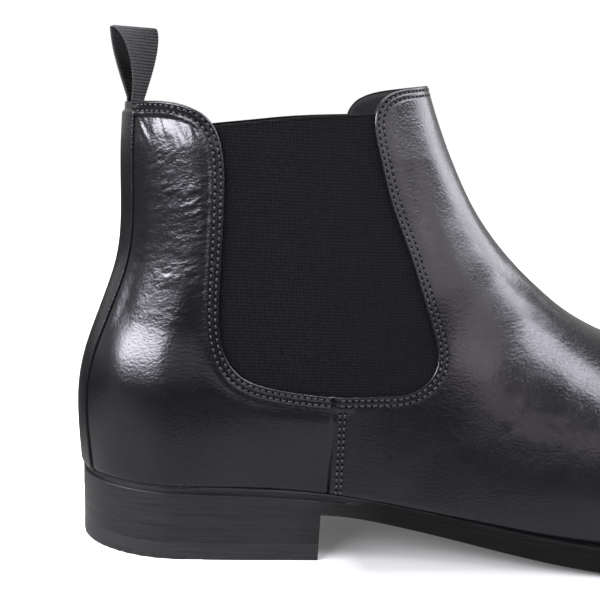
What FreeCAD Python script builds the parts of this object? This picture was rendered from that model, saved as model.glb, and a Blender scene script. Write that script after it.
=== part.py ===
import FreeCAD, Part
import bisect
import math
import os

V = FreeCAD.Vector

# A man's right chelsea boot: +X to the toe, +Z up, -Y the outer (lateral) side.
# The origin is on the floor, under the back of the heel, in the plane of the back seam.

doc = FreeCAD.newDocument("chelsea_boot")
sheet = doc.addObject("Spreadsheet::Sheet", "Sizes")
SIZES = [
    ("leather", 1.5, "outer leather thickness"),
    ("middle", 1.2, "gore, counter and toe puff thickness"),
    ("lining", 0.8, "lining thickness over the middle layer"),
    ("welt_thick", 2.2, "welt thickness"),
    ("insole_thick", 2.4, "insole board thickness"),
    ("sock_thick", 1.0, "sock liner thickness"),
    ("pad_thick", 2.0, "heel pad thickness"),
    ("heel_length", 75.0, "heel base, back to breast"),
    ("heel_radius", 31.4, "radius of the back of the heel"),
    ("seat_height", 15.2, "underside of the outsole over the heel"),
    ("top_piece_thick", 5.6, "rubber top piece thickness"),
    ("lift_thick", 4.8, "one heel lift"),
    ("seam_position", 76.9, "side seam between vamp and quarter"),
    ("flex_height", 79.0, "height of the ankle flex line"),
    ("gore_margin", 7.0, "elastic hidden behind the leather edge"),
    ("nail_radius", 1.1, "heel nail radius"),
    ("nail_length", 13.0, "heel nail length"),
    ("rivet_radius", 1.6, "shank rivet radius"),
    ("rivet_length", 3.2, "shank rivet length"),
    ("shank_width", 15.0, "steel shank width"),
    ("tab_width", 15.0, "pull tab webbing width"),
    ("tab_thick", 1.0, "pull tab webbing thickness"),
    ("tab_rise", 22.0, "pull tab height above the collar"),
    ("tab_tail", 12.0, "tab ends sewn inside the collar"),
    ("side_reach", 80.0, "reach of every side cutting prism"),
]
for row, (alias, value, note) in enumerate(SIZES, start=1):
    sheet.set("A%d" % row, note)
    sheet.set("B%d" % row, str(value))
    sheet.setAlias("B%d" % row, alias)
doc.recompute()


def size(alias):
    """A driving dimension from the sheet."""
    return float(sheet.get(alias))


# ---- curves -------------------------------------------------------------------------------


def spline(knots):
    """Natural cubic through (t, value) knots."""
    t = [k[0] for k in knots]
    v = [k[1] for k in knots]
    n = len(t)
    h = [t[i + 1] - t[i] for i in range(n - 1)]
    bend = [0.0] * n
    ratio = [0.0] * n
    part = [0.0] * n
    for i in range(1, n - 1):
        rise = 6 * ((v[i + 1] - v[i]) / h[i] - (v[i] - v[i - 1]) / h[i - 1])
        pivot = 2 * (h[i - 1] + h[i]) - h[i - 1] * ratio[i - 1]
        ratio[i] = h[i] / pivot
        part[i] = (rise - h[i - 1] * part[i - 1]) / pivot
    for i in range(n - 2, 0, -1):
        bend[i] = part[i] - ratio[i] * bend[i + 1]

    def curve(x):
        i = min(max(bisect.bisect_right(t, x) - 1, 0), n - 2)
        a = (t[i + 1] - x) / h[i]
        b = 1 - a
        cubic = (a ** 3 - a) * bend[i] + (b ** 3 - b) * bend[i + 1]
        return a * v[i] + b * v[i + 1] + cubic * h[i] ** 2 / 6

    return curve


def blend(knots):
    """Curve through (t, value) knots that never overshoots them, flat beyond the ends."""
    t = [k[0] for k in knots]
    v = [k[1] for k in knots]
    n = len(t)
    h = [t[i + 1] - t[i] for i in range(n - 1)]
    s = [(v[i + 1] - v[i]) / h[i] for i in range(n - 1)]
    g = [s[0]] + [0.0] * (n - 2) + [s[-1]]
    for i in range(1, n - 1):
        if s[i - 1] * s[i] > 0:
            w1 = 2 * h[i] + h[i - 1]
            w2 = h[i] + 2 * h[i - 1]
            g[i] = (w1 + w2) / (w1 / s[i - 1] + w2 / s[i])

    def curve(x):
        if x <= t[0]:
            return v[0]
        if x >= t[-1]:
            return v[-1]
        i = bisect.bisect_right(t, x) - 1
        u = (x - t[i]) / h[i]
        ends = (1 + 2 * u) * (1 - u) ** 2 * v[i] + u * u * (3 - 2 * u) * v[i + 1]
        return ends + u * (1 - u) * h[i] * ((1 - u) * g[i] - u * g[i + 1])

    return curve


# ---- the last: section planes that fan round an axis in front of the ankle ------------------
# Sections are level at the collar, turn through the heel and stand upright in the forefoot.

AXIS_X = 172.0
AXIS_Z = 130.0
TURN = 80.0                      # millimetres of station for a radian of fan
UPRIGHT = TURN * math.pi / 2     # station where the sections become upright
TIP = 298.0                      # toe end of the last


def station(x, z):
    """Side-view point to (station, distance from the axis)."""
    if x >= AXIS_X:
        return UPRIGHT + x - AXIS_X, AXIS_Z - z
    if z >= AXIS_Z:
        return AXIS_Z - z, AXIS_X - x
    return TURN * math.atan2(AXIS_Z - z, AXIS_X - x), math.hypot(AXIS_X - x, AXIS_Z - z)


def place(s, r):
    """(station, distance) to side-view point."""
    if s <= 0:
        return AXIS_X - r, AXIS_Z - s
    if s >= UPRIGHT:
        return AXIS_X + s - UPRIGHT, AXIS_Z - r
    return AXIS_X - r * math.cos(s / TURN), AXIS_Z - r * math.sin(s / TURN)


def fan(degrees):
    """Station of a section turned this far down from level."""
    return TURN * math.radians(degrees)


def upright(x):
    """Station of the upright section at x."""
    return UPRIGHT + x - AXIS_X


def profile(points):
    """A smooth side-view outline, given as distance from the axis for each station."""
    t = [0.0]
    for (x0, z0), (x1, z1) in zip(points, points[1:]):
        t.append(t[-1] + math.hypot(x1 - x0, z1 - z0))
    fx = spline([(k, p[0]) for k, p in zip(t, points)])
    fz = spline([(k, p[1]) for k, p in zip(t, points)])
    steps = 600
    table = [station(fx(t[-1] * i / steps), fz(t[-1] * i / steps)) for i in range(steps + 1)]
    keys = [k[0] for k in table]

    def curve(s):
        i = min(max(bisect.bisect_right(keys, s) - 1, 0), steps - 1)
        (s0, r0), (s1, r1) = table[i], table[i + 1]
        return r0 + (s - s0) * (r1 - r0) / (s1 - s0)

    return curve


# Shin, instep and toe line, then the back line carried on below the sole, both in (x, z).
front_line = profile([
    (102.5, 170), (107, 158), (112.6, 143), (120, 127), (129.6, 111), (143.5, 95.4),
    (156.4, 84.6), (168.5, 77), (185, 70.4), (205, 64.6), (228, 57.5), (250, 49.5),
    (268, 41.5), (281, 33.5), (290.5, 25), (296.5, 15), (298.5, 5)])
back_line = profile([
    (7.4, 170), (8.4, 143), (8.2, 130), (8.8, 113), (8.9, 101), (7.9, 92), (5.2, 82),
    (1.6, 71), (-1.6, 60), (-3, 50), (-2.7, 38), (-1.4, 26), (0.6, 8), (2, -12), (7, -34),
    (24, -46), (60, -50), (172, -50), (240, -50), (300, -50)])

# Half widths to each side, the ridge's own offset, and how far the front and back round over.
outer_side = blend([
    (-40, 28.8), (-13, 29.4), (0, 30.2), (fan(13), 32), (fan(24), 33.2), (fan(34), 33.6),
    (fan(45), 33), (fan(56), 34.2), (fan(66), 37.4), (fan(78), 42.6), (upright(172), 46.6),
    (upright(192), 48.6), (upright(210), 48), (upright(230), 43.8), (upright(250), 36.6),
    (upright(268), 27.6), (upright(282), 17.8), (upright(291), 9), (upright(296), 2.5),
    (upright(298.3), -4)])
inner_side = blend([
    (-40, 28.8), (-13, 29.4), (0, 30.2), (fan(13), 32), (fan(24), 33.2), (fan(34), 33),
    (fan(45), 31), (fan(56), 29.4), (fan(66), 31), (fan(78), 35.6), (upright(172), 40),
    (upright(192), 43.6), (upright(210), 45), (upright(230), 43.6), (upright(250), 39.4),
    (upright(268), 33), (upright(282), 25.6), (upright(291), 18), (upright(296), 12),
    (upright(298.3), 7.5)])
ridge = blend([
    (-40, 0), (fan(20), 0), (fan(50), 0.5), (upright(172), 2.5), (upright(230), 4),
    (upright(298), 6)])
front_round = blend([
    (-40, 50), (-13, 52), (0, 55), (fan(20), 64), (fan(40), 66), (fan(60), 64),
    (upright(172), 56), (upright(200), 50), (upright(240), 40), (upright(270), 30),
    (upright(290), 20), (upright(298), 10)])
fullness = blend([
    (-40, 2), (0, 2), (fan(40), 2.05), (upright(172), 2.15), (upright(240), 2.4)])
back_round = blend([
    (-40, 25), (-13, 26), (0, 27), (fan(12), 29), (fan(22), 33), (fan(32), 37), (fan(40), 40),
    (fan(45), 42), (fan(60), 30), (upright(298), 30)])


def shrink(s, inset):
    """Outer station that an inner layer's station stands for, and its share of the inset."""
    if s <= UPRIGHT:
        return s, 1.0
    reach = TIP - AXIS_X
    u = (s - UPRIGHT) / (reach - inset)
    return UPRIGHT + u * reach, 1.0 - 0.85 * u ** 5


def limits(s, inset):
    """Nearest and farthest distance of a section's loop, at this inset."""
    t, share = shrink(s, inset)
    return front_line(t) + inset * share, back_line(t) - inset


def last_y(s, r, side, inset=0.0):
    """Y of the last's skin on one side (-1 outer, +1 inner)."""
    t, share = shrink(s, inset)
    near, far = limits(s, inset)
    power = fullness(t)
    k = 1.0
    if r < near + front_round(t):
        k *= (1 - (1 - (r - near) / front_round(t)) ** power) ** (1 / power)
    if r > far - back_round(t):
        k *= math.sqrt(1 - (1 - (far - r) / back_round(t)) ** 2)
    width = (outer_side(t) if side < 0 else inner_side(t)) - inset * share
    return ridge(t) + (side * width - ridge(t)) * k


def section_halves(s, inset):
    """One closed smooth section loop as two curves: down the outer side, up the inner side."""
    near, far = limits(s, inset)
    middle = ridge(shrink(s, inset)[0])
    half = 17
    points = []
    for i in range(2 * half):
        side = -1 if i <= half else 1
        r = near + (far - near) * (1 - math.cos(math.pi * i / half)) / 2
        x, z = place(s, r)
        points.append(V(x, middle if i % half == 0 else last_y(s, r, side, inset), z))
    loop = Part.BSplineCurve()
    loop.interpolate(Points=points, PeriodicFlag=True,
                     Parameters=[float(i) for i in range(2 * half + 1)])
    halves = []
    for start in (0, half):
        curve = loop.copy()
        curve.segment(start, start + half)
        halves.append(curve)
    return halves


def skinned(curves, steps):
    """Smooth surface through a row of curves that share their knots."""
    rows = [curve.getPoles() for curve in curves]
    columns = []
    for j in range(len(rows[0])):
        column = Part.BSplineCurve()
        column.interpolate(Points=[row[j] for row in rows], Parameters=steps)
        columns.append(column)
    surface = Part.BSplineSurface()
    surface.buildFromPolesMultsKnots(
        [column.getPoles() for column in columns],
        curves[0].getMultiplicities(), columns[0].getMultiplicities(),
        curves[0].getKnots(), columns[0].getKnots(), False, False, 3, 3)
    return surface


def last_solid(name, inset):
    """The last, drawn in by the thickness of the layers outside it."""
    level = [-36 - inset, -26, -13]
    turning = [fan(a) for a in (0, 8, 16, 24, 32, 40, 48, 57, 66, 75, 83)]
    toe = [0.0, 0.1, 0.2, 0.3, 0.4, 0.5, 0.6, 0.69, 0.77, 0.84, 0.895, 0.94, 0.97, 0.99]
    stations = level + turning + [UPRIGHT + u * (TIP - AXIS_X - inset) for u in toe]
    steps = [s - stations[0] for s in stations]
    sections = [section_halves(s, inset) for s in stations]
    surfaces = [skinned([pair[k] for pair in sections], steps) for k in (0, 1)]
    faces = [surface.toShape() for surface in surfaces]
    for end in (0.0, steps[-1]):
        rim = Part.Wire([surface.vIso(end).toShape() for surface in surfaces])
        faces.append(Part.Face(rim))
    shell = Part.Shell(faces)
    shell.sewShape()
    solid = Part.Solid(shell)
    if solid.Volume < 0:
        solid.reverse()
    body = doc.addObject("Part::Feature", name)
    body.Shape = solid
    return body


# ---- outlines and cutting prisms ------------------------------------------------------------


def add_path(sketch, path):
    """Closed outline from ('line' | 'curve', points) runs; each run starts where one ends."""
    for kind, points in path:
        vectors = [V(a, b, 0) for a, b in points]
        if kind == "curve":
            curve = Part.BSplineCurve()
            curve.interpolate(vectors)
            sketch.addGeometry(curve, False)
        else:
            for a, b in zip(vectors, vectors[1:]):
                sketch.addGeometry(Part.LineSegment(a, b), False)


TURNS = {
    "side": FreeCAD.Rotation(V(1, 0, 0), 90),
    "plan": FreeCAD.Rotation(),
    "rear": FreeCAD.Rotation(V(1, 1, 1), 120),
}
DIRECTIONS = {"side": V(0, 1, 0), "plan": V(0, 0, 1), "rear": V(1, 0, 0)}


def prism(name, view, path, forward, backward="0"):
    """Outline drawn in a view and extruded across it, both ways."""
    sketch = doc.addObject("Sketcher::SketchObject", name + "_outline")
    sketch.Placement = FreeCAD.Placement(V(), TURNS[view])
    add_path(sketch, path)
    body = doc.addObject("Part::Extrusion", name)
    body.Base = sketch
    body.DirMode = "Custom"
    body.Dir = DIRECTIONS[view]
    body.Solid = True
    body.setExpression("LengthFwd", forward)
    body.setExpression("LengthRev", backward)
    return body


def loop(points):
    """Straight-sided closed outline."""
    return [("line", list(points) + [points[0]])]


def common(name, *bodies):
    body = doc.addObject("Part::MultiCommon", name)
    body.Shapes = list(bodies)
    return body


def cut(name, base, tool):
    body = doc.addObject("Part::Cut", name)
    body.Base = base
    body.Tool = tool
    return body


def cut_all(name, base, tools):
    """Cut several tools in turn; the last cut carries the name."""
    for i, tool in enumerate(tools):
        last = i == len(tools) - 1
        base = cut(name if last else "%s_step%d" % (name, i + 1), base, tool)
    return base


def union(name, bodies):
    body = doc.addObject("Part::MultiFuse", name)
    body.Shapes = list(bodies)
    return body


nodes = []


def node(body, label):
    """Hand a finished sub-part in under its own name."""
    body.Label = label
    nodes.append(body)
    return body


# ---- side-view lines of the boot ------------------------------------------------------------

# Top of the sole, where the upper meets the welt, and the underside of the outsole.
SOLE_TOP = [
    (-12, 24.2), (10, 24.2), (40, 24.0), (60, 23.4), (78, 22.0), (94, 19.8), (107, 17.6),
    (122, 15.2), (138, 12.8), (155, 10.7), (175, 9.4), (200, 8.9), (225, 9.3), (250, 10.8),
    (275, 13.8), (312, 19.6)]
SOLE_BOTTOM = [
    (75, 15.2), (82, 14.6), (95, 12.6), (108, 10.2), (122, 7.6), (138, 4.8), (153, 2.7),
    (168, 1.2), (184, 0.3), (200, 0.0), (216, 0.2), (236, 1.1), (256, 3.0), (276, 6.0), (312, 12.4)]

# Quarter top, rear edge of the gore window, its floor, its front edge and the vamp top.
TOPLINE = [
    (12, 143.4), (17.4, 143.7), (22.7, 143.5), (28, 142.3), (32.2, 140.4), (35.5, 137.3),
    (38.6, 129.8), (39.9, 114), (39.8, 96), (39.6, 84), (40.4, 72.5), (42.4, 66), (47.2, 60.2),
    (55, 57), (66.8, 55.1), (80, 54.1), (92, 54.4), (101, 55.4), (107, 58.6), (110.5, 63.6),
    (110.6, 70), (108.2, 77.6), (98.8, 102.8), (93.8, 114.2), (90.4, 124.5), (87.4, 135.6),
    (86.9, 143.3), (89.3, 148), (94.2, 151), (102, 152.9), (112, 154.6)]


def lifted(points, rise):
    return [(x, z + rise) for x, z in points]


def band(name, lower, upper):
    """Slab between two side-view curves, right across the boot."""
    bottom = list(lower)
    top = list(reversed(upper))
    path = [("curve", bottom), ("line", [bottom[-1], top[0]]), ("curve", top),
            ("line", [top[-1], bottom[0]])]
    return prism(name, "side", path, "Sizes.side_reach", "Sizes.side_reach")


def box(name, x0, x1, y0, y1, z0, z1):
    """Plain block used to keep one part of a shell."""
    body = doc.addObject("Part::Box", name)
    body.Placement = FreeCAD.Placement(V(x0, y0, z0), FreeCAD.Rotation())
    body.Length = x1 - x0
    body.Width = y1 - y0
    body.Height = z1 - z0
    return body


# ---- sole plan outlines ----------------------------------------------------------------------

# Edge of the sole forward of the heel's straight sides, outer then inner side.
OUTER_EDGE = [
    (34, -32.6), (56, -33.2), (76, -33.2), (94, -33.9), (112, -36.2), (132, -40.8), (152, -46.2),
    (174, -51), (196, -53.2), (214, -52), (234, -47), (254, -39.2), (272, -29.4), (287, -18),
    (296.5, -6.5), (299.6, 3.5)]
INNER_EDGE = [
    (34, 32.6), (56, 32.6), (76, 31.4), (94, 29.8), (112, 29.6), (132, 32.6), (152, 38),
    (174, 43.8), (196, 48), (214, 49.6), (234, 48.4), (254, 44), (272, 36.8), (287, 26.4),
    (296.5, 14), (299.6, 3.5)]


def inward(points, gap, side):
    """Sole edge drawn in by a gap, square to the edge."""
    result = []
    for i, (x, y) in enumerate(points):
        x0, y0 = points[max(i - 1, 0)]
        x1, y1 = points[min(i + 1, len(points) - 1)]
        if i == len(points) - 1:
            result.append((x - gap, y))
            continue
        length = math.hypot(x1 - x0, y1 - y0)
        result.append((x + side * gap * (y1 - y0) / length, y - side * gap * (x1 - x0) / length))
    return result


def heel_arc(gap):
    """Back of the heel as a curve from the inner straight side round to the outer one."""
    radius = size("heel_radius") + 1.2 - gap
    return [(32.6 - radius * math.sin(a), radius * math.cos(a))
            for a in [math.pi * i / 12 for i in range(13)]]


def sole_path(gap):
    """Plan outline of the whole sole, drawn in by a gap."""
    outer = inward(OUTER_EDGE, gap, -1)
    inner = inward(INNER_EDGE, gap, 1)
    arc = heel_arc(gap)
    outer[0] = arc[-1]
    inner[0] = arc[0]
    inner.reverse()
    return [("curve", outer), ("curve", inner), ("curve", arc)]


# ---- shells ------------------------------------------------------------------------------------

skin = last_solid("last_skin", 0.0)
under = last_solid("last_under_leather", size("leather"))
deep = last_solid("last_under_middle", size("leather") + size("middle"))
hollow = last_solid("last_hollow", size("leather") + size("middle") + size("lining"))


def layer(name, outside, inside, *regions):
    """One panel of one layer: trim the outer solid, then take the inner one away."""
    return cut(name, common(name + "_block", outside, *regions), inside)


def upper_region():
    """Side-view area of leather: all below the topline, down to the sole."""
    bottom = list(reversed(SOLE_TOP))
    start = TOPLINE[0]
    end = TOPLINE[-1]
    path = [
        ("curve", TOPLINE),
        ("line", [end, (312, end[1]), bottom[0]]),
        ("curve", bottom),
        ("line", [bottom[-1], (-12, start[1]), start]),
    ]
    return prism("upper_region", "side", path, "Sizes.side_reach", "Sizes.side_reach")


region = upper_region()

seam = size("seam_position")
flex = size("flex_height")
rear_half = box("rear_half", -30, seam, -90, 90, -60, 170)
front_half = box("front_half", seam, 330, -90, 90, -60, 170)
below_flex = box("below_flex", -30, seam, -90, 90, -60, flex)
above_flex = box("above_flex", -30, seam, -90, 90, flex, 170)
outer_half = box("outer_half", -30, 330, -90, 0, -60, 170)
inner_half = box("inner_half", -30, 330, 0, 90, -60, 170)
for half_box in (rear_half, below_flex, above_flex):
    half_box.setExpression("Length", "Sizes.seam_position + 30")
front_half.setExpression("Placement.Base.x", "Sizes.seam_position")
below_flex.setExpression("Height", "Sizes.flex_height + 60")
above_flex.setExpression("Placement.Base.z", "Sizes.flex_height")


def strip_region():
    """Rear-view area of the backstay: a strip up the back seam, wider at the foot."""
    edge = [(15.8, 4), (14.2, 26), (13.2, 46), (13.8, 66), (14.6, 90), (14.6, 120), (14.2, 150)]
    mirror = [(-y, z) for y, z in reversed(edge)]
    path = [("curve", edge), ("line", [edge[-1], mirror[0]]), ("curve", mirror),
            ("line", [mirror[-1], edge[0]])]
    return prism("strip_region", "rear", path, "30 mm", "30 mm")


strip = strip_region()

node(layer("vamp", skin, under, region, front_half), "vamp")


def quarter(name, side_half, height_half):
    """Quarter leather beside the backstay."""
    block = common(name + "_block", skin, region, side_half, height_half)
    return cut(name, cut(name + "_trimmed", block, strip), under)


node(quarter("quarter_lateral", outer_half, below_flex), "quarter_lateral")
node(quarter("quarter_medial", inner_half, below_flex), "quarter_medial")
node(quarter("quarter_shaft_lateral", outer_half, above_flex), "quarter_shaft_lateral")
node(quarter("quarter_shaft_medial", inner_half, above_flex), "quarter_shaft_medial")
node(layer("backstay", skin, under, region, strip, below_flex), "backstay")
node(layer("backstay_shaft", skin, under, region, strip, above_flex), "backstay_shaft")


# ---- elastic gores -------------------------------------------------------------------------------


def gore_region():
    """Side-view area of one gore: the window, its hidden margin, and its own top edge."""
    gap = size("gore_margin")
    window = TOPLINE[6:26]
    edge = []
    for i, (x, z) in enumerate(window):
        x0, z0 = window[max(i - 1, 0)]
        x1, z1 = window[min(i + 1, len(window) - 1)]
        length = math.hypot(x1 - x0, z1 - z0)
        edge.append((x + gap * (z1 - z0) / length, z - gap * (x1 - x0) / length))
    edge[0] = (31.8, 129.8)
    edge = [(30.2, 136.4)] + edge[:] + [(79.6, 142.9)]
    crown = [(79.6, 142.9), (62, 141.1), (45, 138.7), (30.2, 136.4)]
    return prism("gore_region", "side", [("curve", edge), ("curve", crown)],
                 "Sizes.side_reach", "Sizes.side_reach")


gore_area = gore_region()
node(layer("gore_lateral", under, deep, gore_area, outer_half), "gore_lateral")
node(layer("gore_medial", under, deep, gore_area, inner_half), "gore_medial")


# ---- stiffeners ------------------------------------------------------------------------------------


def counter_region():
    """Side-view area of the heel counter, carried on below the sole's top."""
    top = [(-12, 66), (8, 65.5), (26, 61), (44, 50.5), (60, 40), (73, 27.5)]
    path = [("curve", top), ("line", [top[-1], (73, 15), (-12, 15), top[0]])]
    return prism("counter_region", "side", path, "Sizes.side_reach", "Sizes.side_reach")


def puff_region():
    """Side-view area of the toe puff, carried on below the sole's top."""
    corners = [(252, 2), (312, 2), (312, 70), (240, 70)]
    return prism("puff_region", "side", loop(corners), "Sizes.side_reach", "Sizes.side_reach")


counter_area = counter_region()
puff_area = puff_region()
node(layer("heel_counter", under, deep, region, counter_area), "heel_counter")
node(layer("toe_puff", under, deep, region, puff_area), "toe_puff")


# ---- pull tab ---------------------------------------------------------------------------------------

TAB_X = 12.2
TAB_Z = 144.6


def tab_section(t):
    """Centre and half width of the webbing, t from 0 at the outer foot to 1 at the inner foot."""
    rise = size("tab_rise")
    half = size("tab_width") / 2
    side = -1 if t < 0.5 else 1
    climb = 1 - abs(2 * t - 1)
    height = rise * math.sin(math.pi / 2 * min(climb * 1.02, 1.0)) ** 0.92
    gap = 0.75 + 2.3 * math.sin(math.pi * min(climb, 0.98)) ** 0.8
    twist = math.radians(16 + 62 * climb ** 1.2)
    lean = 1.6 * climb
    along_w = V(math.sin(twist), math.cos(twist), 0)
    out = V(-math.cos(twist), math.sin(twist), 0)
    centre = V(TAB_X - lean, 0, TAB_Z + height) - out * (side * gap)
    return centre, along_w * half


def tab_solid():
    """The webbing loop, swept from foot to foot."""
    steps = 28
    wires = []
    rows = [tab_section(i / steps) for i in range(steps + 1)]
    for i, (centre, across) in enumerate(rows):
        before = rows[max(i - 1, 0)][0]
        after = rows[min(i + 1, steps)][0]
        run = (after - before).normalize()
        normal = run.cross(across).normalize() * (size("tab_thick") / 2)
        corners = [centre - across - normal, centre + across - normal,
                   centre + across + normal, centre - across + normal]
        wires.append(Part.makePolygon(corners + [corners[0]]))
    return Part.makeLoft(wires, True, True, False)


tab = doc.addObject("Part::Feature", "pull_tab")
tab.Shape = tab_solid()
node(tab, "pull_tab")

tail_box = box("tail_box", 0, 25, -7.5, 7.5, 131, 143.2)
tail_box.setExpression("Placement.Base.z", "143.2 mm - Sizes.tab_tail * 1 mm")
tail_box.setExpression("Height", "Sizes.tab_tail")
tail_box.setExpression("Placement.Base.y", "-Sizes.tab_width / 2")
tail_box.setExpression("Width", "Sizes.tab_width")
node(layer("pull_tab_ends", under, deep, tail_box), "pull_tab_ends")


# ---- linings ------------------------------------------------------------------------------------------


def lining(name, half_box, filled):
    """One piece of lining, cut back for the gores and for what lies under the leather."""
    block = common(name + "_block", under, region, half_box)
    pocket = layer(name + "_pocket", skin, deep, filled)
    return cut_all(name, block, [gore_area, pocket, hollow])


node(lining("vamp_lining", front_half, puff_area), "vamp_lining")
node(lining("quarter_lining", below_flex, counter_area), "quarter_lining")
node(lining("quarter_shaft_lining", above_flex, tail_box), "quarter_shaft_lining")


# ---- bottom ---------------------------------------------------------------------------------------------

welt_rise = -size("welt_thick")
sole_plan = prism("sole_plan", "plan", sole_path(0.0), "60 mm", "10 mm")
outsole_plan = prism("outsole_plan", "plan", sole_path(0.35), "60 mm", "10 mm")
filler_plan = prism("filler_plan", "plan", sole_path(13.0), "60 mm", "10 mm")

welt_band = band("welt_band", lifted(SOLE_TOP, welt_rise), SOLE_TOP)
welt_full = common("welt_full", sole_plan, welt_band)
filler_full = common("filler_full", filler_plan, welt_band)
node(cut("welt", welt_full, filler_plan), "welt")


def shank_slab():
    """Strip of spring steel under the arch, following the sole's top."""
    low = lifted(SOLE_TOP, -1.7)
    high = lifted(SOLE_TOP, -0.7)
    return band("shank_slab", low, high)


shank_plan = box("shank_plan", 46, 150, -7.5, 7.5, 0, 40)
shank_plan.setExpression("Placement.Base.y", "-Sizes.shank_width / 2")
shank_plan.setExpression("Width", "Sizes.shank_width")
shank_blank = common("shank_blank", shank_slab(), shank_plan)


def rivet(name, x):
    """Rivet from the shank up into the insole."""
    height = spline(SOLE_TOP)(x)
    body = doc.addObject("Part::Cylinder", name)
    body.Placement = FreeCAD.Placement(V(x, 0, height - 1.75), FreeCAD.Rotation())
    body.setExpression("Radius", "Sizes.rivet_radius")
    body.setExpression("Height", "Sizes.rivet_length")
    return body


rivets = node(union("shank_rivets", [rivet("rivet_rear", 58), rivet("rivet_front", 132)]),
              "shank_rivets")
shank = node(cut("shank", shank_blank, rivets), "shank")
node(cut_all("cork_filler", filler_full, [shank_blank, rivets]), "cork_filler")

insole_rise = size("insole_thick")
sock_rise = insole_rise + size("sock_thick")
pad_rise = sock_rise + size("pad_thick")
insole_band = band("insole_band", SOLE_TOP, lifted(SOLE_TOP, insole_rise))
sock_band = band("sock_band", lifted(SOLE_TOP, insole_rise), lifted(SOLE_TOP, sock_rise))
insole_blank = common("insole_blank", hollow, insole_band)
node(cut("insole", insole_blank, rivets), "insole")
node(common("sock_liner", hollow, sock_band), "sock_liner")


def pad_plan():
    """Plan outline of the heel pad: round at the back, shallow curve in front."""
    back = [(33 - 24.5 * math.sin(a), 24.5 * math.cos(a))
            for a in [math.pi * i / 10 for i in range(11)]]
    front = [(33, -24.5), (58, -23.5), (68, -15), (71, 0), (68, 15), (58, 23.5), (33, 24.5)]
    return prism("pad_plan", "plan", [("curve", back), ("curve", front)], "60 mm", "10 mm")


pad_band = band("pad_band", lifted(SOLE_TOP, sock_rise), lifted(SOLE_TOP, pad_rise))
node(common("heel_pad", pad_plan(), pad_band), "heel_pad")


# ---- outsole and heel -----------------------------------------------------------------------------------


def outsole_region():
    """Side-view area of the outsole: level over the heel, then down to the tread."""
    top = lifted(list(reversed(SOLE_TOP)), welt_rise)
    under_line = list(SOLE_BOTTOM)
    seat = size("seat_height")
    under_line[0] = (size("heel_length"), seat)
    path = [("line", [(-12, seat), under_line[0]]), ("curve", under_line),
            ("line", [under_line[-1], top[0]]), ("curve", top), ("line", [top[-1], (-12, seat)])]
    return prism("outsole_region", "side", path, "Sizes.side_reach", "Sizes.side_reach")


outsole_blank = common("outsole_blank", outsole_plan, outsole_region())


def nail_ring():
    """Six heel nails in a horseshoe."""
    nails = []
    for i in range(6):
        angle = math.radians(-112 + 224 * i / 5)
        body = doc.addObject("Part::Cylinder", "nail_%d" % (i + 1))
        x = 33 - 20 * math.cos(angle)
        y = 20 * math.sin(angle)
        body.Placement = FreeCAD.Placement(V(x, y, size("top_piece_thick")), FreeCAD.Rotation())
        body.setExpression("Radius", "Sizes.nail_radius")
        body.setExpression("Height", "Sizes.nail_length")
        nails.append(body)
    return nails


nails = node(union("heel_nails", nail_ring()), "heel_nails")
node(cut("outsole", outsole_blank, nails), "outsole")


def heel_slab(name, low, thick, gap):
    """One layer of the heel: the sole's own plan up to the breast."""
    plan = prism(name + "_plan", "plan", sole_path(gap), thick)
    plan.Placement = FreeCAD.Placement(V(0, 0, low), FreeCAD.Rotation())
    keep = box(name + "_keep", -12, 75, -90, 90, -20, 60)
    keep.setExpression("Length", "Sizes.heel_length + 12")
    return common(name + "_blank", plan, keep)


low_lift = size("top_piece_thick")
high_lift = low_lift + size("lift_thick")
node(heel_slab("top_piece", 0.0, "Sizes.top_piece_thick", 1.1), "top_piece")
node(cut("heel_lift_lower", heel_slab("lift_low", low_lift, "Sizes.lift_thick", 0.85), nails),
     "heel_lift_lower")
node(cut("heel_lift_upper", heel_slab("lift_high", high_lift, "Sizes.lift_thick", 0.6), nails),
     "heel_lift_upper")


# ---- recompute, check, write ------------------------------------------------------------------------------

doc.recompute()
problems = 0
for item in doc.Objects:
    state = " ".join(item.State)
    if "Invalid" in state or "Error" in state:
        print("PROBLEM state", item.Name, state)
        problems += 1
    shape = getattr(item, "Shape", None)
    if shape is not None and (shape.isNull() or not shape.isValid()):
        print("PROBLEM shape", item.Name)
        problems += 1

os.makedirs("parts", exist_ok=True)
for item in nodes:
    shape = item.Shape
    limits_box = shape.BoundBox
    print("%-24s solids %d  volume %9.1f  x %.1f..%.1f  y %.1f..%.1f  z %.1f..%.1f" % (
        item.Label, len(shape.Solids), shape.Volume, limits_box.XMin, limits_box.XMax,
        limits_box.YMin, limits_box.YMax, limits_box.ZMin, limits_box.ZMax))
    shape.exportStep("parts/%s.step" % item.Label)
print("nodes", len(nodes), "problems", problems)
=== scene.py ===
import bpy
import math
import numpy as np
from itertools import chain
from mathutils import Matrix, Vector, kdtree, noise


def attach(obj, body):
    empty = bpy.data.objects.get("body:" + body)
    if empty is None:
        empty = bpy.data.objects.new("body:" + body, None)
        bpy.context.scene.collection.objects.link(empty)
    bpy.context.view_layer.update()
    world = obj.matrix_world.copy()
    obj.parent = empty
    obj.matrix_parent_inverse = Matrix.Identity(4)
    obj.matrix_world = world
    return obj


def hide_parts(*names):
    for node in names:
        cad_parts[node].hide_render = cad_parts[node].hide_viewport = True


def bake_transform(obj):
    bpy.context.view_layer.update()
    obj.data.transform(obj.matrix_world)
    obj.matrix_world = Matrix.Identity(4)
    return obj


# A polished black chelsea boot, built round the CAD frame. Lengths are worked out in
# millimetres, in the CAD part's axes (+X toe, +Z up, -Y outer side), and stored in metres.

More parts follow.
